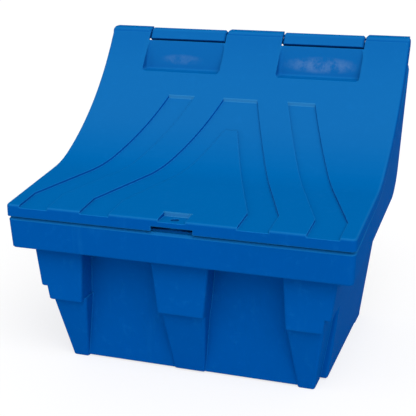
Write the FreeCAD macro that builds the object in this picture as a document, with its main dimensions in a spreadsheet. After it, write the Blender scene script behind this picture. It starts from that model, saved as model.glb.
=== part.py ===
import FreeCAD, Part
import math
import os
import Sketcher

# Grit salt bin: a nestable moulded tub and a curved lid that turns on two steel hinge rods.
# While it is built the front edge of the lid lies at y = 0 and +y runs back to the hinge.
# At the end every piece is moved forward by half the depth, so that the origin is at the
# middle of the footprint, on the ground, with +Z up.

doc = FreeCAD.newDocument("grit_salt_bin")
sheet = doc.addObject("Spreadsheet::Sheet", "sizes")

driving_sizes = {
    # lid outline, side view
    "lid_width": 1060,
    "front_height": 537,
    "flat_run": 318,
    "flat_angle": 6,
    "bend_radius": 350,
    "bend_angle": 24,
    "sweep_radius": 937,
    "hinge_angle": 57.4,
    "wall": 6,
    "skirt_height": 37,
    "lid_edge_radius": 9,
    "lid_corner_radius": 14,
    # drainage channels pressed into the lid
    "channel_depth": 8,
    "channel_width": 93,
    "channel_top_reach": 181,
    "channel_bend_y": 106,
    "outer_channel_top_x": 163,
    "outer_channel_front_inset": 138,
    "inner_channel_top_x": 59,
    "inner_channel_front_x": 287,
    "fork_reach": 287,
    "fork_half_width": 21,
    # hinge pockets of the lid and the lugs that stand in them
    "pocket_inner_x": 100,
    "pocket_outer_inset": 146,
    "pocket_front_reach": 116,
    "pocket_floor_drop": 116,
    "pocket_floor_depth": 50,
    "pocket_lip_gap": 16,
    "pocket_radius": 12,
    "lug_end_gap": 4,
    "barrel_radius": 20,
    "barrel_chamfer": 5,
    "lug_root_drop": 78,
    "lug_lip_length": 28,
    "lug_lip_depth": 12,
    "stop_lip_length": 28,
    "stop_lip_thickness": 8,
    # hinge rods
    "rod_radius": 6,
    "rod_clearance": 0.1,
    "rod_seat_depth": 60,
    "rod_end_gap": 8,
    "rod_chamfer": 1,
    "plug_head_radius": 13,
    "plug_head_thickness": 4,
    "plug_clearance": 0.4,
    "spigot_clearance": 0.3,
    "plug_spigot_length": 16,
    # padlock flat of the lid and finger notch below it
    "lock_half_width": 42,
    "lock_depth_y": 58,
    "lock_floor_drop": 7,
    "lock_hole_radius": 13,
    "lock_hole_y": 31,
    "notch_half_width": 64,
    "notch_height": 15,
    # rim band of the tub
    "rim_gap": 6,
    "seat_gap": 0.5,
    "rim_inset": 16,
    "shoulder_chamfer": 7,
    "band_side_gap": 2,
    "band_front_y": 5,
    "band_top_drop": 53,
    "band_bottom_drop": 140,
    "band_bottom_angle": 3.7,
    "band_side_draft": 2.6,
    "band_front_draft": 3.3,
    "band_toe_in": 0.8,
    "band_back_reach": 59,
    "band_back_drop": 43,
    "band_back_draft": 6.5,
    "band_corner_radius": 14,
    "band_lower_chamfer": 3,
    "band_heel_radius": 100,
    "barrel_gap": 5,
    # padlock eye in the rim
    "bay_half_width": 70,
    "bay_gap": 2,
    "eye_half_width": 32,
    "eye_thickness": 8,
    "eye_drop": 1,
    # tub below the band
    "foot_height": 5,
    "base_side_inset": 112,
    "base_back_reach": 107,
    "side_draft": 7.2,
    "back_draft": 4,
    "side_start_y": 212,
    "bay_side_inset": 134,
    "corner_draft": 9.2,
    "panel_base_y": 143,
    "panel_top_y": 127,
    "rib_base_y": 139,
    "rib_top_y": 82,
    "block_bottom_z": 220,
    "block_base_y": 58,
    "block_top_y": 56,
    "centre_rib_base_x": 50,
    "centre_rib_top_x": 71,
    "centre_block_base_x": 73,
    "centre_block_top_x": 92,
    "corner_rib_base_inset": 186,
    "corner_rib_top_inset": 212,
    "corner_block_base_inset": 208,
    "corner_block_top_inset": 218,
    "side_block_bottom_z": 263,
    "side_block_base_inset": 74,
    "side_block_top_inset": 57,
    "tub_corner_radius": 8,
    "tub_edge_chamfer": 3,
    "foot_length": 80,
    # allowances of the construction, which leave no mark on the part
    "overrun": 120,
    "overrun_angle": 4,
    "cut_clearance": 30,
    "housing_reach": 110,
    "block_overlap": 40,
}
for row, (alias, value) in enumerate(driving_sizes.items(), start=1):
    sheet.set(f"A{row}", alias)
    sheet.set(f"B{row}", str(value))
    sheet.setAlias(f"B{row}", alias)
doc.recompute()


class Size:
    """An expression over the size sheet, written with ordinary arithmetic."""

    def __init__(self, text):
        self.text = text if isinstance(text, str) else str(text)

    def join(self, sign, other):
        return Size(f"({self.text} {sign} {as_size(other).text})")

    def __add__(self, other):
        return self.join("+", other)

    def __sub__(self, other):
        return self.join("-", other)

    def __mul__(self, other):
        return self.join("*", other)

    def __truediv__(self, other):
        return self.join("/", other)

    def __radd__(self, other):
        return as_size(other).join("+", self)

    def __rsub__(self, other):
        return as_size(other).join("-", self)

    def __rmul__(self, other):
        return as_size(other).join("*", self)

    def __neg__(self):
        return Size(f"(0 - {self.text})")

    def value(self):
        return float(sheet.evalExpression(self.text))


def as_size(value):
    return value if isinstance(value, Size) else Size(value)


def size(alias):
    return Size(f"sizes.{alias}")


def sine(angle):
    return Size(f"sin({as_size(angle).text} * 1 deg)")


def cosine(angle):
    return Size(f"cos({as_size(angle).text} * 1 deg)")


def tangent(angle):
    return Size(f"tan({as_size(angle).text} * 1 deg)")


def bind(feature, **values):
    """Bind properties of a feature to the sheet."""
    for name, value in values.items():
        feature.setExpression(name, as_size(value).text)


# The lid's top line: a straight front run, a small bend, then one long sweep up to the hinge.
# Both arcs keep their centres when the line is moved inwards by a wall or a clearance.

BEND_CENTRE = (
    size("flat_run") - size("bend_radius") * sine(size("flat_angle")),
    size("front_height")
    + size("flat_run") * tangent(size("flat_angle"))
    + size("bend_radius") * cosine(size("flat_angle")),
)
SWEEP_CENTRE = (
    BEND_CENTRE[0]
    - (size("sweep_radius") - size("bend_radius")) * sine(size("bend_angle")),
    BEND_CENTRE[1]
    + (size("sweep_radius") - size("bend_radius")) * cosine(size("bend_angle")),
)


def on_flat(y, inset):
    """Point of the straight front run, inset below the top line."""
    slope = size("flat_angle")
    height = size("front_height") + as_size(y) * tangent(slope)
    return as_size(y), height - as_size(inset) / cosine(slope)


def on_arc(centre, radius, angle, inset):
    """Point of one of the two arcs where the line has turned to the angle."""
    reach = size(radius) + as_size(inset)
    return centre[0] + reach * sine(angle), centre[1] - reach * cosine(angle)


HINGE = on_arc(SWEEP_CENTRE, "sweep_radius", size("hinge_angle"), size("barrel_radius"))
CREST_Z = HINGE[1] + size("barrel_radius")
TOTAL_DEPTH = HINGE[0] + size("stop_lip_length")
FULL_WIDTH = size("lid_width")
HALF_LID = FULL_WIDTH / 2
POCKET_INNER_X = size("pocket_inner_x")
POCKET_OUTER_X = HALF_LID - size("pocket_outer_inset")
LOCK_FLOOR_Z = size("front_height") - size("lock_floor_drop")
BAND_TOP_Z = size("front_height") - size("band_top_drop")
BAND_BOTTOM_Z = size("front_height") - size("band_bottom_drop")
BAND_BACK_Y = HINGE[0] - size("band_back_reach")
BAND_BACK_Z = size("front_height") - size("band_back_drop")
BASE_BACK_Y = HINGE[0] - size("base_back_reach")
BASE_HALF_WIDTH = HALF_LID - size("base_side_inset")
BAY_HALF_WIDTH = HALF_LID - size("bay_side_inset")
WALL = size("wall")
CLEAR = size("cut_clearance")
WIDE = FULL_WIDTH + CLEAR * 2
END_ANGLE = size("hinge_angle") + size("overrun_angle")
TOLERANCE = 0.5


class Outline:
    """A closed run of lines and arcs whose corners are bound to the sheet."""

    def __init__(self, start):
        self.corners = [start]
        self.edges = []

    def line(self, corner):
        self.corners.append(corner)
        self.edges.append(None)
        return self

    def arc(self, corner, centre, radius, anticlockwise=True):
        self.corners.append(corner)
        self.edges.append((centre, as_size(radius), anticlockwise))
        return self

    def draw(self, sketch):
        """Close the outline and put it, fully constrained, into a sketch."""
        self.edges.append(None)
        points = [
            FreeCAD.Vector(as_size(x).value(), as_size(y).value(), 0) for x, y in self.corners
        ]
        ends = []
        for index, edge in enumerate(self.edges):
            first = points[index]
            last = points[(index + 1) % len(points)]
            if edge is None:
                geometry = sketch.addGeometry(Part.LineSegment(first, last), False)
                ends.append((geometry, 1, 2))
                continue
            centre, radius, anticlockwise = edge
            middle = FreeCAD.Vector(as_size(centre[0]).value(), as_size(centre[1]).value(), 0)
            begin, finish = (first, last) if anticlockwise else (last, first)
            angles = [math.atan2(p.y - middle.y, p.x - middle.x) for p in (begin, finish)]
            if angles[1] <= angles[0]:
                angles[1] += 2 * math.pi
            circle = Part.Circle(middle, FreeCAD.Vector(0, 0, 1), radius.value())
            geometry = sketch.addGeometry(Part.ArcOfCircle(circle, *angles), False)
            ends.append((geometry, 1, 2) if anticlockwise else (geometry, 2, 1))
        for index, (geometry, start, _) in enumerate(ends):
            previous = ends[index - 1]
            sketch.addConstraint(
                Sketcher.Constraint("Coincident", previous[0], previous[2], geometry, start)
            )
        for index, (geometry, start, _) in enumerate(ends):
            for kind, place in zip(("DistanceX", "DistanceY"), self.corners[index]):
                place = as_size(place)
                dimension = sketch.addConstraint(
                    Sketcher.Constraint(kind, -1, 1, geometry, start, place.value())
                )
                sketch.setExpression(f"Constraints[{dimension}]", place.text)
            if self.edges[index] is not None:
                radius = self.edges[index][1]
                dimension = sketch.addConstraint(
                    Sketcher.Constraint("Radius", geometry, radius.value())
                )
                sketch.setExpression(f"Constraints[{dimension}]", radius.text)


def new_body(name):
    return doc.addObject("PartDesign::Body", name)


def new_sketch(body, name, plane, height=None):
    """Sketch on one of the body's own planes, or parallel to it."""
    sketch = body.newObject("Sketcher::SketchObject", name)
    support = [f for f in body.Origin.OriginFeatures if f.Role == plane][0]
    sketch.AttachmentSupport = [(support, "")]
    sketch.MapMode = "FlatFace"
    if height is not None:
        sketch.setExpression("AttachmentOffset.Base.z", as_size(height).text)
    return sketch


def new_pad(body, name, plane, outline, length, height=None, symmetric=False):
    """Pad an outline; one that isn't symmetric runs along the plane's normal."""
    sketch = new_sketch(body, f"{name}_sketch", plane, height)
    outline.draw(sketch)
    pad = body.newObject("PartDesign::Pad", name)
    pad.Profile = sketch
    if symmetric:
        pad.SideType = "Symmetric"
    bind(pad, Length=length)
    return pad


def slab(name, outline, width):
    """Body made of a side-view outline, as wide as asked and centred on the part."""
    body = new_body(name)
    new_pad(body, f"{name}_pad", "YZ_Plane", outline, width, symmetric=True)
    return body


def fuse(name, pieces):
    union = doc.addObject("Part::MultiFuse", name)
    union.Shapes = pieces
    return union


def common(name, pieces):
    shared = doc.addObject("Part::MultiCommon", name)
    shared.Shapes = pieces
    return shared


def cut(name, base, tool):
    difference = doc.addObject("Part::Cut", name)
    difference.Base = base
    difference.Tool = tool
    return difference


def block(name, x, y, z):
    """Plain box between two values on each axis."""
    box = doc.addObject("Part::Box", name)
    bind(box, Length=as_size(x[1]) - as_size(x[0]), Width=as_size(y[1]) - as_size(y[0]))
    bind(box, Height=as_size(z[1]) - as_size(z[0]))
    bind(box, **{"Placement.Base.x": x[0], "Placement.Base.y": y[0], "Placement.Base.z": z[0]})
    return box


def hinge_cylinder(name, radius, left, right):
    """Round bar or bore on the hinge axis between two X values."""
    bar = doc.addObject("Part::Cylinder", name)
    bar.Placement.Rotation = FreeCAD.Rotation(FreeCAD.Vector(0, 1, 0), 90)
    bind(bar, Radius=radius, Height=as_size(right) - as_size(left))
    bind(bar, **{"Placement.Base.x": left, "Placement.Base.y": HINGE[0], "Placement.Base.z": HINGE[1]})
    return bar


def dress_edges(kind, name, base, size_along, wanted):
    """Fillet or chamfer the edges of a piece that the test picks out."""
    doc.recompute()
    edges = [i for i, edge in enumerate(base.Shape.Edges, start=1) if wanted(edge)]
    dressed = doc.addObject(f"Part::{kind}", name)
    dressed.Base = base
    value = as_size(size_along).value()
    dressed.Edges = [(i, value, value) for i in edges]
    return dressed


def round_edges(name, base, radius, wanted):
    return dress_edges("Fillet", name, base, radius, wanted)


def chamfer_edges(name, base, length, wanted):
    return dress_edges("Chamfer", name, base, length, wanted)


def upright(edge):
    """True for an edge that climbs more than it travels."""
    first, last = edge.Vertexes[0].Point, edge.Vertexes[-1].Point
    return abs(last.z - first.z) > 2 * math.hypot(last.x - first.x, last.y - first.y)


def below_top_line(y, z):
    """How far a point lies below the lid's top line, measured square to it."""
    for centre, radius, start_angle in (
        (SWEEP_CENTRE, "sweep_radius", "bend_angle"),
        (BEND_CENTRE, "bend_radius", "flat_angle"),
    ):
        along, up = y - centre[0].value(), centre[1].value() - z
        if math.degrees(math.atan2(along, up)) >= size(start_angle).value():
            return math.hypot(along, up) - size(radius).value()
    slope = math.radians(size("flat_angle").value())
    return (size("front_height").value() + y * math.tan(slope) - z) * math.cos(slope)


def at_inset(edge, inset):
    """True when both ends of an edge lie at an inset from the lid's top line."""
    target = as_size(inset).value()
    return all(abs(below_top_line(v.Y, v.Z) - target) < TOLERANCE for v in edge.Vertexes)


# Side-view regions under the lid's top line


def under_line(inset, bottom):
    """Region below the top line moved down by the inset, over a straight bottom line."""
    front = -size("overrun")
    back = HINGE[0] + size("overrun")
    flat_end = on_arc(BEND_CENTRE, "bend_radius", size("flat_angle"), inset)
    bend_end = on_arc(BEND_CENTRE, "bend_radius", size("bend_angle"), inset)
    sweep_end = on_arc(SWEEP_CENTRE, "sweep_radius", END_ANGLE, inset)
    outline = Outline((front, bottom[0])).line(on_flat(front, inset)).line(flat_end)
    outline.arc(bend_end, BEND_CENTRE, size("bend_radius") + inset)
    outline.arc(sweep_end, SWEEP_CENTRE, size("sweep_radius") + inset)
    return outline.line((back, sweep_end[1])).line((back, bottom[1]))


def line_strip(upper, lower, front, angle):
    """Strip between two insets of the top line, from a front value to a turn angle."""
    outline = Outline(on_flat(front, lower)).line(on_flat(front, upper))
    outline.line(on_arc(BEND_CENTRE, "bend_radius", size("flat_angle"), upper))
    outline.arc(
        on_arc(BEND_CENTRE, "bend_radius", size("bend_angle"), upper),
        BEND_CENTRE, size("bend_radius") + upper,
    )
    outline.arc(
        on_arc(SWEEP_CENTRE, "sweep_radius", angle, upper),
        SWEEP_CENTRE, size("sweep_radius") + upper,
    )
    outline.line(on_arc(SWEEP_CENTRE, "sweep_radius", angle, lower))
    outline.arc(
        on_arc(SWEEP_CENTRE, "sweep_radius", size("bend_angle"), lower),
        SWEEP_CENTRE, size("sweep_radius") + lower, anticlockwise=False,
    )
    outline.arc(
        on_arc(BEND_CENTRE, "bend_radius", size("flat_angle"), lower),
        BEND_CENTRE, size("bend_radius") + lower, anticlockwise=False,
    )
    return outline


# Lid: one moulded skin with a skirt down the front and both sides

lid_form = slab(
    "lid_form", line_strip(Size(0), size("skirt_height"), Size(0), size("hinge_angle")), FULL_WIDTH
)
lid_corners = round_edges("lid_corners", lid_form, size("lid_corner_radius"), upright)
lid_outer = round_edges(
    "lid_outer", lid_corners, size("lid_edge_radius"), lambda edge: at_inset(edge, 0)
)
lid_hollow = slab(
    "lid_hollow",
    line_strip(WALL, size("skirt_height") + WALL, WALL, END_ANGLE),
    FULL_WIDTH - WALL * 2,
)
lid_skin = cut("lid_skin", lid_outer, lid_hollow)


def channel_outlines(margin, front):
    """Plan of the three channels: one forked in the middle and one to each side."""
    top = HINGE[0] - size("channel_top_reach") + margin
    bend = size("channel_bend_y")
    width = size("channel_width") + margin
    fork = [
        (size("inner_channel_top_x") + margin, top),
        (size("inner_channel_front_x") + margin, bend),
        (size("inner_channel_front_x") + margin, front),
        (size("inner_channel_front_x") - width, front),
        (size("inner_channel_front_x") - width, bend),
        (size("fork_half_width") - margin, HINGE[0] - size("fork_reach") - margin),
    ]
    outline = Outline(fork[0])
    for corner in fork[1:]:
        outline.line(corner)
    for x, y in reversed(fork):
        outline.line((-x, y))
    outlines = [outline]
    for side in (1, -1):
        inner_top = size("outer_channel_top_x") - margin
        inner_front = HALF_LID - size("outer_channel_front_inset") - margin
        shift = width + margin
        outline = Outline((inner_top * side, top))
        outline.line(((inner_top + shift) * side, top))
        outline.line(((inner_front + shift) * side, bend))
        outline.line(((inner_front + shift) * side, front))
        outline.line((inner_front * side, front))
        outline.line((inner_front * side, bend))
        outlines.append(outline)
    return outlines


def channel_prisms(name, margin, front):
    """Upright prisms over the channel plan."""
    bodies = []
    for index, outline in enumerate(channel_outlines(margin, front)):
        body = new_body(f"{name}_{index}")
        new_pad(body, f"{name}_{index}_pad", "XY_Plane", outline, CREST_Z)
        bodies.append(body)
    return fuse(f"{name}_prisms", bodies)


channel_floors = common("channel_floors", [
    channel_prisms("floor", WALL, WALL / 2),
    slab(
        "floor_strip",
        line_strip(WALL / 2, size("channel_depth") + WALL, WALL / 2, size("hinge_angle")),
        FULL_WIDTH - WALL,
    ),
])
channel_cuts = common("channel_cuts", [
    channel_prisms("channel", Size(0), -CLEAR),
    slab(
        "channel_strip",
        line_strip(-CLEAR, size("channel_depth"), -CLEAR, size("hinge_angle")),
        FULL_WIDTH,
    ),
])

# Hinge pockets: the lid sinks in around each lug of the tub

pocket_front_y = HINGE[0] - size("pocket_front_reach")
pocket_floor_z = HINGE[1] - size("pocket_floor_drop")
pocket_back_y = pocket_front_y + size("pocket_floor_depth")
pocket_lip_y = HINGE[0] - size("barrel_radius") - size("pocket_lip_gap")
pocket_lip_z = HINGE[1] - size("barrel_radius")
above_lid = CREST_Z + CLEAR
behind_lid = TOTAL_DEPTH + CLEAR


def pocket_region(grow):
    """Side view of a pocket, grown outwards by the wall for its housing."""
    front = pocket_front_y - grow
    floor = pocket_floor_z - grow
    outline = Outline((front, above_lid)).line((front, floor))
    outline.line((pocket_back_y + grow, floor))
    return outline.line((pocket_lip_y + grow, pocket_lip_z))


def pocket_corner(edge):
    """True for the edges around a pocket's floor and up the two sides of its leaning back."""
    floor = pocket_floor_z.value()
    front = pocket_front_y.value()
    lip = (pocket_lip_z - TOLERANCE).value()
    ends = [v.Point for v in edge.Vertexes]
    on_floor = any(abs(p.z - floor) < TOLERANCE for p in ends)
    at_front = all(abs(p.y - front) < TOLERANCE for p in ends)
    return on_floor and not at_front and all(p.z < lip + 2 * TOLERANCE for p in ends)


pocket_housings = []
pocket_cuts = []
for side, label in ((-1, "left"), (1, "right")):
    for grow, kind, group in ((WALL, "housing", pocket_housings), (Size(0), "cut", pocket_cuts)):
        body = new_body(f"pocket_{kind}_{label}")
        near = (POCKET_INNER_X - grow) * side
        far = (POCKET_OUTER_X + grow) * side
        low = near if side > 0 else far
        outline = pocket_region(grow)
        if kind == "cut":
            outline.line((behind_lid, pocket_lip_z)).line((behind_lid, above_lid))
        else:
            outline.line((pocket_lip_y, above_lid))
        new_pad(
            body, f"pocket_{kind}_{label}_pad", "YZ_Plane", outline,
            POCKET_OUTER_X - POCKET_INNER_X + grow * 2, height=low,
        )
        if kind == "cut":
            body = round_edges(
                f"pocket_cut_{label}_rounded", body, size("pocket_radius"), pocket_corner
            )
        group.append(body)

under_skin = slab(
    "under_skin",
    line_strip(WALL / 2, size("housing_reach"), WALL / 2, END_ANGLE),
    FULL_WIDTH - WALL,
)
lock_housing = block(
    "lock_housing",
    (-size("lock_half_width") - WALL, size("lock_half_width") + WALL),
    (WALL / 2, size("lock_depth_y") + WALL),
    (LOCK_FLOOR_Z - WALL, size("front_height") + CLEAR),
)
lid_thickenings = common("lid_thickenings", [
    fuse("lid_housings", pocket_housings + [lock_housing]), under_skin,
])

# Hinge barrels at the two ends and in the middle of the lid's back edge

BARREL_ENDS = {
    "left": (-HALF_LID, -POCKET_OUTER_X),
    "middle": (-POCKET_INNER_X, POCKET_INNER_X),
    "right": (POCKET_OUTER_X, HALF_LID),
}
barrels = []
for label, (low, high) in BARREL_ENDS.items():
    bar = hinge_cylinder(f"barrel_{label}_bar", size("barrel_radius"), low, high)
    barrels.append(chamfer_edges(
        f"barrel_{label}", bar, size("barrel_chamfer"), lambda edge: len(edge.Vertexes) == 1
    ))
    barrels.append(block(
        f"stop_lip_{label}",
        (low + size("barrel_chamfer"), high - size("barrel_chamfer")),
        (HINGE[0], TOTAL_DEPTH),
        (CREST_Z - size("stop_lip_thickness"), CREST_Z),
    ))

rod_outer_x = (
    HALF_LID - size("plug_head_thickness") - size("plug_spigot_length") - size("rod_end_gap")
)
bore_radius = size("rod_radius") + size("rod_clearance")
bore_end = POCKET_INNER_X - size("rod_seat_depth") - size("lug_end_gap")
lid_bores = []
for side, label in ((-1, "left"), (1, "right")):
    near, far = (bore_end, HALF_LID + CLEAR) if side > 0 else (-HALF_LID - CLEAR, -bore_end)
    lid_bores.append(hinge_cylinder(f"lid_bore_{label}", bore_radius, near, far))
    seat_depth = size("plug_head_thickness")
    near = HALF_LID - seat_depth if side > 0 else -HALF_LID - seat_depth
    far = HALF_LID + seat_depth if side > 0 else -HALF_LID + seat_depth
    lid_bores.append(hinge_cylinder(
        f"plug_seat_{label}", size("plug_head_radius") + size("plug_clearance"), near, far,
    ))

lock_cut = block(
    "lock_cut",
    (-size("lock_half_width"), size("lock_half_width")),
    (-CLEAR, size("lock_depth_y")),
    (LOCK_FLOOR_Z, size("front_height") + CLEAR),
)
lock_hole = doc.addObject("Part::Cylinder", "lock_hole")
bind(lock_hole, Radius=size("lock_hole_radius"), Height=WALL * 3)
bind(lock_hole, **{
    "Placement.Base.y": size("lock_hole_y"),
    "Placement.Base.z": LOCK_FLOOR_Z - WALL * 2,
})
skirt_bottom_z = size("front_height") - size("skirt_height") / cosine(size("flat_angle"))
finger_notch = block(
    "finger_notch",
    (-size("notch_half_width"), size("notch_half_width")),
    (-CLEAR, WALL * 2),
    (skirt_bottom_z - WALL, skirt_bottom_z + size("notch_height")),
)
lid_solid = fuse("lid_solid", [lid_skin, channel_floors, lid_thickenings] + barrels)
lid_tools = fuse(
    "lid_tools", [channel_cuts, lock_cut, lock_hole, finger_notch] + pocket_cuts + lid_bores
)
lid = cut("lid", lid_solid, lid_tools)

# Tub: the wall follows every rib, block and step, so each outer block has an inner twin.
# A tapered block is given by its heights and by the planes of its four sides.

tub_outer = []
tub_inner = []


def tapered_block(name, z, left, right, front, back):
    """Frustum whose four sides each run straight from a bottom to a top value."""
    wedge = doc.addObject("Part::Wedge", name)
    wedge.Placement.Rotation = FreeCAD.Rotation(FreeCAD.Vector(1, 0, 0), 90)
    bind(wedge, Ymin=z[0], Ymax=z[1])
    bind(wedge, Xmin=left[0], X2min=left[1], Xmax=right[0], X2max=right[1])
    bind(wedge, Zmin=-as_size(back[0]), Z2min=-as_size(back[1]))
    bind(wedge, Zmax=-as_size(front[0]), Z2max=-as_size(front[1]))
    return wedge


def moulded_block(name, z, left, right, front, back, inner_back=None):
    """Outer block and the inner one that leaves the wall around it."""
    outer = tapered_block(name, z, left, right, front, back)
    bottom = as_size(z[0]).value()
    rounded = round_edges(f"{name}_rounded", outer, size("tub_corner_radius"), upright)
    tub_outer.append(chamfer_edges(
        f"{name}_chamfered", rounded, size("tub_edge_chamfer"),
        lambda edge: all(v.Z < bottom + TOLERANCE for v in edge.Vertexes),
    ))
    share = WALL / (as_size(z[1]) - as_size(z[0]))

    def lifted(pair, inset):
        first, last = as_size(pair[0]), as_size(pair[1])
        return first + (last - first) * share + inset, last + inset

    back_pair = lifted(back, -WALL) if inner_back is None else (inner_back, inner_back)
    tub_inner.append(tapered_block(
        f"{name}_inside", (as_size(z[0]) + WALL, z[1]), lifted(left, WALL), lifted(right, -WALL),
        lifted(front, WALL), back_pair,
    ))


def grown(base, draft, rise):
    """A value that leans outwards by the draft over a rise."""
    return as_size(base) + as_size(rise) * tangent(draft)


band_zone_z = BAND_BACK_Z + size("block_overlap")
low_zone_z = BAND_BOTTOM_Z + size("block_overlap")
foot = size("foot_height")

side_half = (
    grown(BASE_HALF_WIDTH, size("side_draft"), foot),
    grown(BASE_HALF_WIDTH, size("side_draft"), band_zone_z),
)
moulded_block(
    "tub_main", (foot, band_zone_z),
    (-side_half[0], -side_half[1]), side_half,
    (size("side_start_y"), size("side_start_y")),
    (
        grown(BASE_BACK_Y, size("back_draft"), foot),
        grown(BASE_BACK_Y, size("back_draft"), band_zone_z),
    ),
)


def corner_x(z):
    return grown(BAY_HALF_WIDTH, size("corner_draft"), z)


def along(first, last, low, high, z):
    """Value of a straight edge at a height, extended past its measured ends."""
    return as_size(first) + (as_size(last) - as_size(first)) * (
        (as_size(z) - as_size(low)) / (as_size(high) - as_size(low))
    )


def panel_y(z):
    return along(size("panel_base_y"), size("panel_top_y"), 0, BAND_BOTTOM_Z, z)


def rib_y(z):
    return along(size("rib_base_y"), size("rib_top_y"), 0, size("block_bottom_z"), z)


def block_y(z):
    return along(
        size("block_base_y"), size("block_top_y"), size("block_bottom_z"), BAND_BOTTOM_Z, z
    )


bay_back = size("side_start_y") + WALL * 3
moulded_block(
    "tub_front_bay", (foot, low_zone_z),
    (-corner_x(foot), -corner_x(low_zone_z)), (corner_x(foot), corner_x(low_zone_z)),
    (panel_y(foot), panel_y(low_zone_z)),
    (size("side_start_y") + WALL, size("side_start_y") + WALL), inner_back=bay_back,
)

block_z = size("block_bottom_z")
side_block_z = size("side_block_bottom_z")
rib_back = size("side_start_y") + WALL


def rib_x(base, top, z):
    return along(base, top, 0, block_z, z)


def block_x(base, top, z):
    return along(base, top, block_z, BAND_BOTTOM_Z, z)


def from_side(alias):
    """X value at an inset from the lid's side."""
    return HALF_LID - size(alias)


def side_block_x(z):
    return along(
        from_side("side_block_base_inset"), from_side("side_block_top_inset"),
        side_block_z, BAND_BOTTOM_Z, z,
    )


def mirrored_pair(inner, outer, side):
    """Left and right values of a block on the given side."""
    if side > 0:
        return inner, outer
    return (-outer[0], -outer[1]), (-inner[0], -inner[1])


rib_base, rib_top = size("centre_rib_base_x"), size("centre_rib_top_x")
centre = (rib_x(rib_base, rib_top, foot), rib_x(rib_base, rib_top, block_z + WALL))
moulded_block(
    "centre_rib", (foot, block_z + WALL), (-centre[0], -centre[1]), centre,
    (rib_y(foot), rib_y(block_z + WALL)), (rib_back, rib_back), inner_back=bay_back,
)
block_base, block_top = size("centre_block_base_x"), size("centre_block_top_x")
centre = (block_base, block_x(block_base, block_top, low_zone_z))
moulded_block(
    "centre_block", (block_z, low_zone_z), (-centre[0], -centre[1]), centre,
    (block_y(block_z), block_y(low_zone_z)), (rib_back, rib_back), inner_back=bay_back,
)
rib_base, rib_top = from_side("corner_rib_base_inset"), from_side("corner_rib_top_inset")
block_base, block_top = from_side("corner_block_base_inset"), from_side("corner_block_top_inset")
for side, label in ((-1, "left"), (1, "right")):
    top = block_z + WALL
    left, right = mirrored_pair(
        (rib_base, rib_x(rib_base, rib_top, top)), (corner_x(0), corner_x(top)), side,
    )
    moulded_block(
        f"corner_rib_{label}", (0, top), left, right,
        (rib_y(0), rib_y(top)), (rib_back, rib_back), inner_back=bay_back,
    )
    left, right = mirrored_pair(
        (block_base, block_x(block_base, block_top, low_zone_z)),
        (corner_x(block_z), corner_x(low_zone_z)), side,
    )
    moulded_block(
        f"corner_block_{label}", (block_z, low_zone_z), left, right,
        (block_y(block_z), block_y(low_zone_z)), (rib_back, rib_back), inner_back=bay_back,
    )
    left, right = mirrored_pair(
        (BAY_HALF_WIDTH, BAY_HALF_WIDTH),
        (side_block_x(side_block_z), side_block_x(low_zone_z)), side,
    )
    moulded_block(
        f"side_block_{label}", (side_block_z, low_zone_z), left, right,
        (block_y(side_block_z), block_y(low_zone_z)), (rib_back, rib_back), inner_back=bay_back,
    )
    back_foot = (rib_base, BASE_HALF_WIDTH)
    low, high = back_foot if side > 0 else (-back_foot[1], -back_foot[0])
    tub_outer.append(block(
        f"back_foot_{label}", (low, high),
        (BASE_BACK_Y - size("foot_length"), BASE_BACK_Y),
        (0, foot + WALL / 2),
    ))

# Rim band: a drafted collar between the sloping lower line and the shoulder under the lid,
# and inside it the upstand that the lid closes over


def facing(name, point, yaw, draft):
    """Thick disc that trims away all that lies beyond a leaning plane through the point."""
    disc = doc.addObject("Part::Cylinder", name)
    bind(disc, Radius=size("lid_width") * 2, Height=size("lid_width"))
    place = ";".join(as_size(value).text for value in point)
    turn = f"rotation({as_size(yaw).text}; 90 + {as_size(draft).text}; 0)"
    disc.setExpression("Placement", f"placement(vector({place}); {turn})")
    return disc


def collar_faces(name, side_inset, front_inset, back_inset):
    """The four leaning planes of the collar: front, back and two sides that toe in."""
    toe = size("band_toe_in")
    side_x = HALF_LID - size("band_side_gap") - side_inset
    side_draft = size("band_side_draft")
    return fuse(name, [
        facing(
            f"{name}_front", (0, size("band_front_y") + front_inset, BAND_TOP_Z),
            -90, size("band_front_draft"),
        ),
        facing(
            f"{name}_back", (0, BAND_BACK_Y - back_inset, BAND_BACK_Z),
            90, size("band_back_draft"),
        ),
        facing(f"{name}_right", (side_x, 0, BAND_TOP_Z), toe, side_draft),
        facing(f"{name}_left", (-side_x, 0, BAND_TOP_Z), 180 - toe, side_draft),
    ])


def collar(name, top_inset, bottom_inset, insets, shrink):
    """Collar under the lid's line, over the sloping lower line, with rounded corners."""
    view = slab(f"{name}_view", under_line(top_inset, band_bottom(bottom_inset)), WIDE)
    faces = collar_faces(f"{name}_faces", *insets)
    heel = round_edges(
        f"{name}_heel", cut(f"{name}_block", view, faces), size("band_heel_radius") - shrink,
        lambda edge: heel_edge(edge, bottom_inset),
    )
    return round_edges(name, heel, size("band_corner_radius") - shrink, front_upright)


def front_upright(edge):
    """True for the upright edges at the collar's two front corners."""
    return upright(edge) and edge.Vertexes[0].Y < size("side_start_y").value()


def band_bottom(inset):
    """The two ends of the sloping lower line, raised by an inset."""
    low = BAND_BOTTOM_Z + inset
    slope = tangent(size("band_bottom_angle"))
    return low - size("overrun") * slope, low + (HINGE[0] + size("overrun")) * slope


shoulder = size("skirt_height") + size("rim_gap")
rim_top = WALL + size("channel_depth") + size("seat_gap")


def shoulder_edge(edge):
    """Upper edges of the band along its front and its two sides, not across the back."""
    first, last = edge.Vertexes[0], edge.Vertexes[-1]
    across = abs(first.Y - last.Y) < TOLERANCE and first.Y > size("side_start_y").value()
    return at_inset(edge, shoulder) and not across


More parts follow.
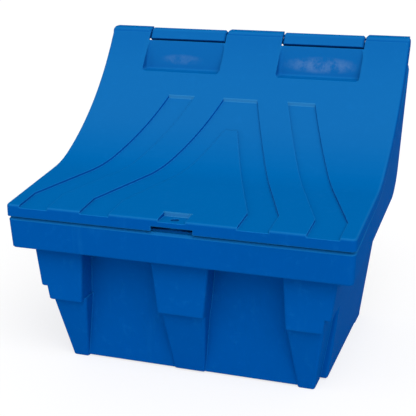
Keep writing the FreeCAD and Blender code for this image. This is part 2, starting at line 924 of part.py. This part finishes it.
def lower_band_edge(edge, inset=Size(0)):
    """Edges of the collar along its sloping lower line."""
    low, high = (value.value() for value in band_bottom(inset))
    reach = (HINGE[0] + size("overrun") * 2).value()
    front = -size("overrun").value()
    slope = (high - low) / reach
    return all(abs(v.Z - low - (v.Y - front) * slope) < TOLERANCE for v in edge.Vertexes)


def heel_edge(edge, inset):
    """The edge across the back where the lower line meets the back wall."""
    ends = [v.Point for v in edge.Vertexes]
    across = abs(ends[0].y - ends[-1].y) < TOLERANCE
    return across and ends[0].y > HINGE[0].value() / 2 and lower_band_edge(edge, inset)


flush = (Size(0), Size(0), Size(0))
inside = (WALL, WALL, WALL)
rim_inset = size("rim_inset")
rim_insets = (rim_inset, rim_inset, Size(0))
rim_inner_insets = (rim_inset + WALL, rim_inset + WALL, WALL)
band_shouldered = chamfer_edges(
    "band_shouldered", collar("band", shoulder, Size(0), flush, Size(0)),
    size("shoulder_chamfer"), shoulder_edge,
)
band_outer = chamfer_edges(
    "band_outer", band_shouldered, size("band_lower_chamfer"), lower_band_edge
)
rim_cap_z = HINGE[1] - size("barrel_radius") - size("barrel_gap")
rim_cap = block("rim_cap", (-FULL_WIDTH, FULL_WIDTH), (-FULL_WIDTH, FULL_WIDTH * 2), (0, rim_cap_z))
rim_outer = common("rim_outer", [
    collar("rim", rim_top, Size(0), rim_insets, Size(0)), rim_cap,
])
tub_outer += [band_outer, rim_outer]
tub_inner.append(collar("band_inside", shoulder + WALL, WALL, inside, WALL))
tub_inner.append(collar("rim_inside", -CLEAR, WALL, rim_inner_insets, WALL))

tub_body = cut("tub_shell", fuse("tub_form", tub_outer), fuse("tub_space", tub_inner))

# Hinge lugs: a barrel on a leaning root that grows out of the tub's back wall


def lug(label, side):
    """Lug whose front lip carries on the lid's top line and whose back rounds the hinge axis."""
    body = new_body(f"hinge_lug_{label}")
    radius = size("barrel_radius")
    root_z = HINGE[1] - size("lug_root_drop")
    wall_y = grown(BAND_BACK_Y, size("band_back_draft"), root_z - BAND_BACK_Z)
    top_wall_y = grown(
        BAND_BACK_Y, size("band_back_draft"), rim_cap_z - BAND_BACK_Z
    )
    outline = Outline((wall_y - WALL / 2, root_z)).line((top_wall_y - WALL / 2, rim_cap_z))
    outline.line(on_arc(SWEEP_CENTRE, "sweep_radius", lip_angle, size("lug_lip_depth")))
    outline.line(on_arc(SWEEP_CENTRE, "sweep_radius", lip_angle, 0))
    lip_top = on_arc(SWEEP_CENTRE, "sweep_radius", size("hinge_angle"), 0)
    outline.arc(lip_top, SWEEP_CENTRE, size("sweep_radius"))
    outline.arc((HINGE[0], CREST_Z), HINGE, radius, anticlockwise=False)
    outline.arc((HINGE[0] + radius, HINGE[1]), HINGE, radius, anticlockwise=False)
    near = (POCKET_INNER_X + size("lug_end_gap")) * side
    far = (POCKET_OUTER_X - size("lug_end_gap")) * side
    new_pad(
        body, f"hinge_lug_{label}_pad", "YZ_Plane", outline,
        POCKET_OUTER_X - POCKET_INNER_X - size("lug_end_gap") * 2,
        height=near if side > 0 else far,
    )
    piece = body
    for index, end_x in enumerate((near, far)):
        piece = chamfer_edges(
            f"hinge_lug_{label}_end_{index}", piece, size("barrel_chamfer"),
            lambda edge, end_x=end_x: lug_end_edge(edge, end_x.value()),
        )
    return piece


def lug_end_edge(edge, end_x):
    """True for the edges round one end of a lug, from its lip over to its back."""
    ends = [v.Point for v in edge.Vertexes]
    lip_z = on_arc(SWEEP_CENTRE, "sweep_radius", lip_angle, 0)[1].value()
    return all(abs(p.x - end_x) < TOLERANCE and p.z > lip_z - TOLERANCE for p in ends)


half_turn = 180
lip_angle = size("hinge_angle") - size("lug_lip_length") / size("sweep_radius") * half_turn / math.pi
lugs = [lug("left", -1), lug("right", 1)]
rod_bores = [
    hinge_cylinder("lug_bore_left", bore_radius, -POCKET_OUTER_X, -POCKET_INNER_X),
    hinge_cylinder("lug_bore_right", bore_radius, POCKET_INNER_X, POCKET_OUTER_X),
]

# Padlock bay: the rim steps back behind the lid's finger notch, and an eye stands in it

eye_top_z = LOCK_FLOOR_Z - WALL - size("eye_drop")
bay_back_y = size("lock_depth_y") + WALL + size("bay_gap")
bay_floor_z = on_flat(bay_back_y, shoulder)[1]
bay_cut = block(
    "bay_cut",
    (-size("bay_half_width"), size("bay_half_width")),
    (WALL, bay_back_y),
    (bay_floor_z, size("front_height") + CLEAR),
)
bay_liner = common("bay_liner", [
    block(
        "bay_liner_block",
        (-size("bay_half_width") - WALL, size("bay_half_width") + WALL),
        (rim_inset + size("band_front_y"), bay_back_y + WALL),
        (bay_floor_z - WALL, size("front_height") + CLEAR),
    ),
    slab("bay_side_view", under_line(rim_top, band_bottom(Size(0))), WIDE),
])
lock_eye = block(
    "lock_eye",
    (-size("eye_half_width"), size("eye_half_width")),
    (size("lock_hole_y") - size("lock_hole_radius") - size("eye_thickness"),
     bay_back_y + WALL / 2),
    (eye_top_z - size("eye_thickness"), eye_top_z),
)
eye_hole = doc.addObject("Part::Cylinder", "eye_hole")
bind(eye_hole, Radius=size("lock_hole_radius"), Height=size("eye_thickness") * 2)
bind(eye_hole, **{
    "Placement.Base.y": size("lock_hole_y"),
    "Placement.Base.z": eye_top_z - size("eye_thickness") * 1.5,
})

tub_with_bay = cut("tub_with_bay", fuse("tub_lined", [tub_body, bay_liner]), bay_cut)
tub = cut(
    "tub", fuse("tub_solid", [tub_with_bay, lock_eye] + lugs), fuse("tub_bores", rod_bores + [eye_hole])
)


# Hinge rods and the plugs that hold them in


def rod_or_plug(name, side, steps):
    """Turned piece on the hinge axis: pairs of (distance from the middle, radius)."""
    body = new_body(name)
    sketch = new_sketch(body, f"{name}_sketch", "XZ_Plane", -HINGE[0])
    outline = Outline((steps[0][0] * side, HINGE[1]))
    for x, radius in steps:
        outline.line((x * side, HINGE[1] + radius))
    outline.line((steps[-1][0] * side, HINGE[1]))
    outline.draw(sketch)
    turned = body.newObject("PartDesign::Revolution", f"{name}_turned")
    turned.Profile = sketch
    closing_edge = len(outline.edges) - 1
    turned.ReferenceAxis = (sketch, [f"Edge{closing_edge + 1}"])
    turned.Angle = 360
    return body


pieces = {"tub": tub, "lid": lid}
rod_start = POCKET_INNER_X - size("rod_seat_depth")
chamfer = size("rod_chamfer")
spigot_radius = bore_radius - size("spigot_clearance")
for side, label in ((-1, "left"), (1, "right")):
    pieces[f"hinge_rod_{label}"] = rod_or_plug(f"hinge_rod_{label}", side, [
        (rod_start, size("rod_radius") - chamfer),
        (rod_start + chamfer, size("rod_radius")),
        (rod_outer_x - chamfer, size("rod_radius")),
        (rod_outer_x, size("rod_radius") - chamfer),
    ])
    seat_x = HALF_LID - size("plug_head_thickness")
    pieces[f"rod_plug_{label}"] = rod_or_plug(f"rod_plug_{label}", side, [
        (seat_x - size("plug_spigot_length"), spigot_radius),
        (seat_x, spigot_radius),
        (seat_x, size("plug_head_radius")),
        (HALF_LID - chamfer, size("plug_head_radius")),
        (HALF_LID, size("plug_head_radius") - chamfer),
    ])

for name, piece in pieces.items():
    piece.Label = name
    bind(piece, **{"Placement.Base.y": -TOTAL_DEPTH / 2})
doc.recompute()

for item in doc.Objects:
    if {"Invalid", "Error"} & set(item.State):
        raise RuntimeError(f"{item.Name} failed: {item.State}")

os.makedirs("parts", exist_ok=True)
for name, piece in pieces.items():
    shape = piece.Shape
    if shape.isNull() or not shape.isValid():
        raise RuntimeError(f"{name} has no valid shape")
    bounds = shape.BoundBox
    print(
        f"{name}: {len(shape.Solids)} solid, volume {shape.Volume / 1e6:.3f} l, "
        f"x {bounds.XMin:.1f}..{bounds.XMax:.1f}, y {bounds.YMin:.1f}..{bounds.YMax:.1f}, "
        f"z {bounds.ZMin:.1f}..{bounds.ZMax:.1f}"
    )
    shape.exportStep(f"parts/{name}.step")
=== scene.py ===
import bpy
import math
from mathutils import Matrix, Vector

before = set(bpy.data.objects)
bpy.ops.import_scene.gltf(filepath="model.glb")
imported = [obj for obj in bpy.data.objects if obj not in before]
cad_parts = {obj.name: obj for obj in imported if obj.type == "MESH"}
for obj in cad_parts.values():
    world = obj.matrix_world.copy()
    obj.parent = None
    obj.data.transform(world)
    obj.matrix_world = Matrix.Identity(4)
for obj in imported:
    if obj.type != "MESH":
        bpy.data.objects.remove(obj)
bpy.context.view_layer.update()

# Tub: one rotationally moulded piece of blue polyethylene, from the feet up to the rim and the
# hinge lugs. The mould leaves a fine satin grain, soft edges, slightly wavy walls and a colour
# that varies a little from place to place.


class Wire:
    """One output in a finish. Arithmetic on it adds the maths nodes."""

    def __init__(self, finish, socket):
        self.finish = finish
        self.socket = socket

    def work(self, operation, *values):
        return self.finish.add("ShaderNodeMath", {"operation": operation}, dict(enumerate(values)))

    def __add__(self, other):
        return self.work("ADD", self, other)

    def __sub__(self, other):
        return self.work("SUBTRACT", self, other)

    def __mul__(self, other):
        return self.work("MULTIPLY", self, other)

    def __truediv__(self, other):
        return self.work("DIVIDE", self, other)

    def __rsub__(self, other):
        return self.work("SUBTRACT", other, self)

    __radd__ = __add__
    __rmul__ = __mul__

    def clamped(self):
        return self.work("MINIMUM", self.work("MAXIMUM", self, 0.0), 1.0)

    def rise(self, low, high):
        """Smooth step from 0 at low to 1 at high."""
        settings = {"interpolation_type": "SMOOTHSTEP"}
        sockets = {"Value": self, "From Min": low, "From Max": high}
        return self.finish.add("ShaderNodeMapRange", settings, sockets)

    def above(self, low, fade):
        """1 from a little above low, 0 below it."""
        return (self - low).rise(0.0, fade)

    def below(self, high, fade):
        """1 up to a little below high, 0 above it."""
        return (high - self).rise(0.0, fade)

    def between(self, low, high, fade):
        return self.above(low, fade) * self.below(high, fade)


class Finish:
    """A procedural material, or the surround, put together node by node."""

    def __init__(self, name, surround=None):
        self.material = surround or bpy.data.materials.new(name)
        self.material.use_nodes = True
        self.tree = self.material.node_tree
        self.shader = self.tree.nodes["Background" if surround else "Principled BSDF"]

    def add(self, kind, settings=None, sockets=None, output=0):
        node = self.tree.nodes.new(kind)
        for name, value in (settings or {}).items():
            setattr(node, name, value)
        for name, value in (sockets or {}).items():
            self.feed(node.inputs[name], value)
        return Wire(self, node.outputs[output])

    def feed(self, socket, value):
        if isinstance(value, Wire):
            self.tree.links.new(value.socket, socket)
        else:
            socket.default_value = value

    def place(self):
        """Position on the object, in metres, and its three parts."""
        point = self.add("ShaderNodeTexCoord", output="Object")
        parts = [self.add("ShaderNodeSeparateXYZ", sockets={0: point}, output=i) for i in range(3)]
        return point, parts

    def noise(self, point, scale, detail=2.0, roughness=0.5):
        sockets = {"Vector": point, "Scale": scale, "Detail": detail, "Roughness": roughness}
        return self.add("ShaderNodeTexNoise", {}, sockets)

    def stretched(self, point, factors):
        return self.add("ShaderNodeVectorMath", {"operation": "MULTIPLY"}, {0: point, 1: factors})

    def blend(self, share, first, second):
        """Colour between two, by a share."""
        settings = {"data_type": "RGBA", "clamp_factor": True}
        return self.add("ShaderNodeMix", settings, {0: share, 6: first, 7: second}, output=2)

    def seen_directly(self):
        """1 on rays that show the backdrop itself: to the camera, or by way of metal or glass."""
        kinds = ("Camera", "Glossy", "Transmission")
        return sum(self.add("ShaderNodeLightPath", output=f"Is {kind} Ray") for kind in kinds).clamped()

    def show_on(self, piece):
        piece.data.materials.clear()
        piece.data.materials.append(self.material)


SOFT_EDGE = 0.0050
BLUE = (0.0, 0.088, 0.380, 1.0)
BLUE_DEEP = (0.0, 0.083, 0.352, 1.0)
BLUE_PALE = (0.010, 0.190, 0.560, 1.0)
BLUE_LIGHTER = (0.006, 0.146, 0.440, 1.0)
BLUE_FLAT = (0.0, 0.134, 0.432, 1.0)
SHEEN_TINT = (0.10, 0.55, 1.0, 1.0)


def moulded_plastic(name, edge_highlight):
    """Satin polyethylene: mottled and grained, with painted light on up-facing faces and a painted highlight
    on edges.
    """
    finish = Finish(name)
    point, parts = finish.place()
    soft = finish.add("ShaderNodeBevel", {"samples": 8}, {"Radius": SOFT_EDGE})
    flat = finish.add("ShaderNodeNewGeometry", output="True Normal")
    compare = {"operation": "DOT_PRODUCT"}
    facing = finish.add("ShaderNodeVectorMath", compare, {0: soft, 1: flat}, "Value")
    edge = (1.0 - facing).rise(0.004, 0.20)

    cloud = finish.noise(point, 3.2, 3.0, 0.55)
    mottle = finish.noise(point, 38.0, 4.0, 0.6)
    streak = finish.noise(finish.stretched(point, (26.0, 26.0, 3.0)), 1.0, 3.0, 0.55)
    grain = finish.noise(point, 620.0, 2.0, 0.6)
    wave = finish.noise(point, 7.0, 1.0, 0.4)

    skyward = finish.add("ShaderNodeSeparateXYZ", sockets={0: flat}, output=2)
    dark = (0.62 - cloud) * 1.4 + (0.5 - mottle) * 0.5 + (0.5 - streak) * 0.35
    colour = finish.blend(dark.clamped(), BLUE, BLUE_DEEP)
    # Painted light: faces that point up get paler blues, palest on near-flat tops, as though lit from above.
    colour = finish.blend(skyward.rise(0.1, 0.75), colour, BLUE_LIGHTER)
    colour = finish.blend(skyward.rise(0.80, 0.96), colour, BLUE_FLAT)
    worn_spots = (mottle - 0.56).rise(0.0, 0.16) * 0.10
    worn_streaks = (streak - 0.58).rise(0.0, 0.2) * 0.10
    # Painted highlight: every edge is blended towards pale blue, by the edge strength given; the spots and
    # streaks add wear.
    light = edge * edge_highlight + worn_spots + worn_streaks
    colour = finish.blend(light.clamped(), colour, BLUE_PALE)

    rough = 0.46 + (mottle - 0.5) * 0.16 + (cloud - 0.5) * 0.12 + (grain - 0.5) * 0.10 - edge * 0.06
    slow = finish.add(
        "ShaderNodeBump", {},
        {"Strength": 0.35, "Distance": 0.006, "Height": wave, "Normal": soft},
    )
    fine = finish.add(
        "ShaderNodeBump", {},
        {"Strength": 0.22, "Distance": 0.0006, "Height": grain * 0.8 + mottle * 0.8, "Normal": slow},
    )
    finish.feed(finish.shader.inputs["Base Color"], colour)
    finish.feed(finish.shader.inputs["Roughness"], rough.clamped())
    finish.feed(finish.shader.inputs["Normal"], fine)
    finish.feed(finish.shader.inputs["Specular IOR Level"], 0.0003)
    finish.feed(finish.shader.inputs["Specular Tint"], SHEEN_TINT)
    finish.blended, finish.point, finish.parts = colour, point, parts
    return finish


# The number is the strength of the painted highlight on the edges.
tub_plastic = moulded_plastic("tub_polyethylene", 0.55)
tub_plastic.show_on(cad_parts["tub"])

# Lid: a second moulding of the same polyethylene, with a stronger painted highlight on its edges.
# Handling and
# stacking leave hazy scuffs where dirt and other lids rub, most of all in the hinge pockets.

SCUFF_BLUE = (0.085, 0.215, 0.480, 1.0)
PAINTED_WALL_LIGHT = (0.026, 0.225, 0.530, 1.0)
SCUFFS = (
    # centre x, centre z, half width, half height, strength
    (0.245, 0.862, 0.115, 0.024, 0.75),
    (-0.255, 0.858, 0.070, 0.016, 0.35),
)

# The lid's edges get a stronger painted highlight than the tub's.
lid_plastic = moulded_plastic("lid_polyethylene", 1.2)
across, back, up = lid_plastic.parts
patchy = lid_plastic.noise(lid_plastic.point, 26.0, 5.0, 0.65)
haze = 0.0
for centre_x, centre_z, half_width, half_height, strength in SCUFFS:
    sideways = (across - centre_x) / half_width
    upwards = (up - centre_z) / half_height
    spread = sideways * sideways + upwards * upwards
    haze = (1.0 - spread).rise(-0.6, 0.9) * strength + haze
haze = haze * patchy.rise(0.36, 0.66) * back.rise(0.31, 0.33)

# The hinge pockets are coloured paler than the skirt.
half_span = across.work("ABSOLUTE", across)
in_pocket = half_span.between(0.085, 0.405, 0.02) * back.rise(0.305, 0.325)
in_pocket = in_pocket * up.rise(0.815, 0.835) * up.below(0.925, 0.004)
lid_colour = lid_plastic.blend(in_pocket * 0.75, lid_plastic.blended, BLUE_LIGHTER)

# Painted light: two kinds of upright wall that face the front are coloured paler, as if lit: the one
# behind the padlock flat, and the upper ends of the three channels.
lock_wall = half_span.below(0.0470, 0.003) * back.between(-0.3835, -0.3775, 0.002)
lock_wall = lock_wall * up.above(0.5150, 0.001)
channels = half_span.below(0.0600, 0.001) + half_span.between(0.1620, 0.2570, 0.001)
end_wall = channels.clamped() * back.between(0.2280, 0.2310, 0.001) * up.between(0.7445, 0.7590, 0.001)
lid_colour = lid_plastic.blend((lock_wall + end_wall).clamped(), lid_colour, PAINTED_WALL_LIGHT)
lid_plastic.feed(
    lid_plastic.shader.inputs["Base Color"],
    lid_plastic.blend(haze.clamped(), lid_colour, SCUFF_BLUE),
)
lid_plastic.show_on(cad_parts["lid"])

# Hinge rods: two drawn stainless bars that run through the lid's barrels and the tub's lugs.
# Drawing leaves fine lines along them, and they sit hidden in their bores.

STEEL = (0.56, 0.57, 0.58, 1.0)
STEEL_DULL = (0.40, 0.41, 0.42, 1.0)

rod_steel = Finish("drawn_steel")
rod_point = rod_steel.place()[0]
lines = rod_steel.noise(rod_steel.stretched(rod_point, (4.0, 900.0, 900.0)), 1.0, 3.0, 0.6)
blotch = rod_steel.noise(rod_point, 45.0, 3.0, 0.5)
rod_steel.feed(rod_steel.shader.inputs["Base Color"], rod_steel.blend(blotch, STEEL, STEEL_DULL))
rod_steel.feed(rod_steel.shader.inputs["Metallic"], 1.0)
rod_steel.feed(rod_steel.shader.inputs["Roughness"], (0.24 + lines * 0.18 + blotch * 0.08).clamped())
scratches = rod_steel.add("ShaderNodeBump", {}, {"Strength": 0.2, "Distance": 0.0002, "Height": lines})
rod_steel.feed(rod_steel.shader.inputs["Normal"], scratches)
for side in ("left", "right"):
    rod_steel.show_on(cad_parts[f"hinge_rod_{side}"])

# Rod plugs: small injection-moulded caps in the lid's blue, pushed into the ends of the bores.

# The number is the strength of the painted highlight on the plug edges.
plug_plastic = moulded_plastic("plug_plastic", 0.55)
for side in ("left", "right"):
    plug_plastic.show_on(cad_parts[f"rod_plug_{side}"])

# Studio: a pale floor that runs out of view and keeps the bin's soft shadow. It looks near white
# to the camera and in reflections, and lights the bin as a plain pale floor would.

FLOOR_SIZE = 60.0
bpy.ops.object.select_all(action="DESELECT")
bpy.ops.mesh.primitive_plane_add(size=FLOOR_SIZE, location=(0.0, 0.0, 0.0))
floor = bpy.context.active_object
floor.name = "studio_floor"
floor_paint = Finish("floor_paint")
floor_paint.feed(floor_paint.shader.inputs["Base Color"], (0.86, 0.86, 0.86, 1.0))
floor_paint.feed(floor_paint.shader.inputs["Roughness"], 0.9)
floor_paint.feed(floor_paint.shader.inputs["Specular IOR Level"], 0.0)
glow = floor_paint.add("ShaderNodeEmission", {}, {"Color": (1.0, 1.0, 1.0, 1.0), "Strength": 1.18})
surface = Wire(floor_paint, floor_paint.shader.outputs[0])
mixed = floor_paint.add("ShaderNodeMixShader", {}, {0: floor_paint.seen_directly() * 0.6, 1: surface, 2: glow})
floor_paint.feed(floor_paint.tree.nodes["Material Output"].inputs["Surface"], mixed)
floor_paint.show_on(floor)

# Light: a wide soft key from the front, above and to the right, and an even white surround.


def sun(name, strength, softness, towards):
    """Distant lamp whose light travels against the given direction."""
    data = bpy.data.lights.new(name, "SUN")
    data.energy = strength
    data.angle = math.radians(softness)
    lamp = bpy.data.objects.new(name, data)
    lamp.rotation_euler = Vector(towards).to_track_quat("Z", "Y").to_euler()
    bpy.context.scene.collection.objects.link(lamp)


sun("key", 1.75, 50.0, (0.42, -0.62, 0.85))
sun("fill", 0.55, 90.0, (-0.45, -0.85, 0.3))

SURROUND_LIGHT = 0.45
world = bpy.data.worlds.new("studio_surround")
surround = Finish("studio_surround", world)
surround.feed(surround.shader.inputs["Color"], (1.0, 1.0, 1.0, 1.0))
strength = SURROUND_LIGHT + surround.seen_directly() * (1.0 - SURROUND_LIGHT)
surround.feed(surround.shader.inputs["Strength"], strength)
bpy.context.scene.world = world
bpy.context.scene.view_settings.view_transform = "Standard"

# Camera: the photograph's view, from the front right and above, on a long lens.

YAW, PITCH, ROLL = math.radians(18.87), math.radians(17.61), math.radians(-0.34)
lens = bpy.data.cameras.new("photo_view")
lens.sensor_width = 36.0
lens.lens = 88.07
camera = bpy.data.objects.new("photo_view", lens)
camera.matrix_world = (
    Matrix.Translation((0.9837, -2.9920, 1.4427))
    @ Matrix.Rotation(YAW, 4, "Z")
    @ Matrix.Rotation(math.radians(90.0) - PITCH, 4, "X")
    @ Matrix.Rotation(ROLL, 4, "Z")
)
bpy.context.scene.collection.objects.link(camera)
bpy.context.scene.camera = camera
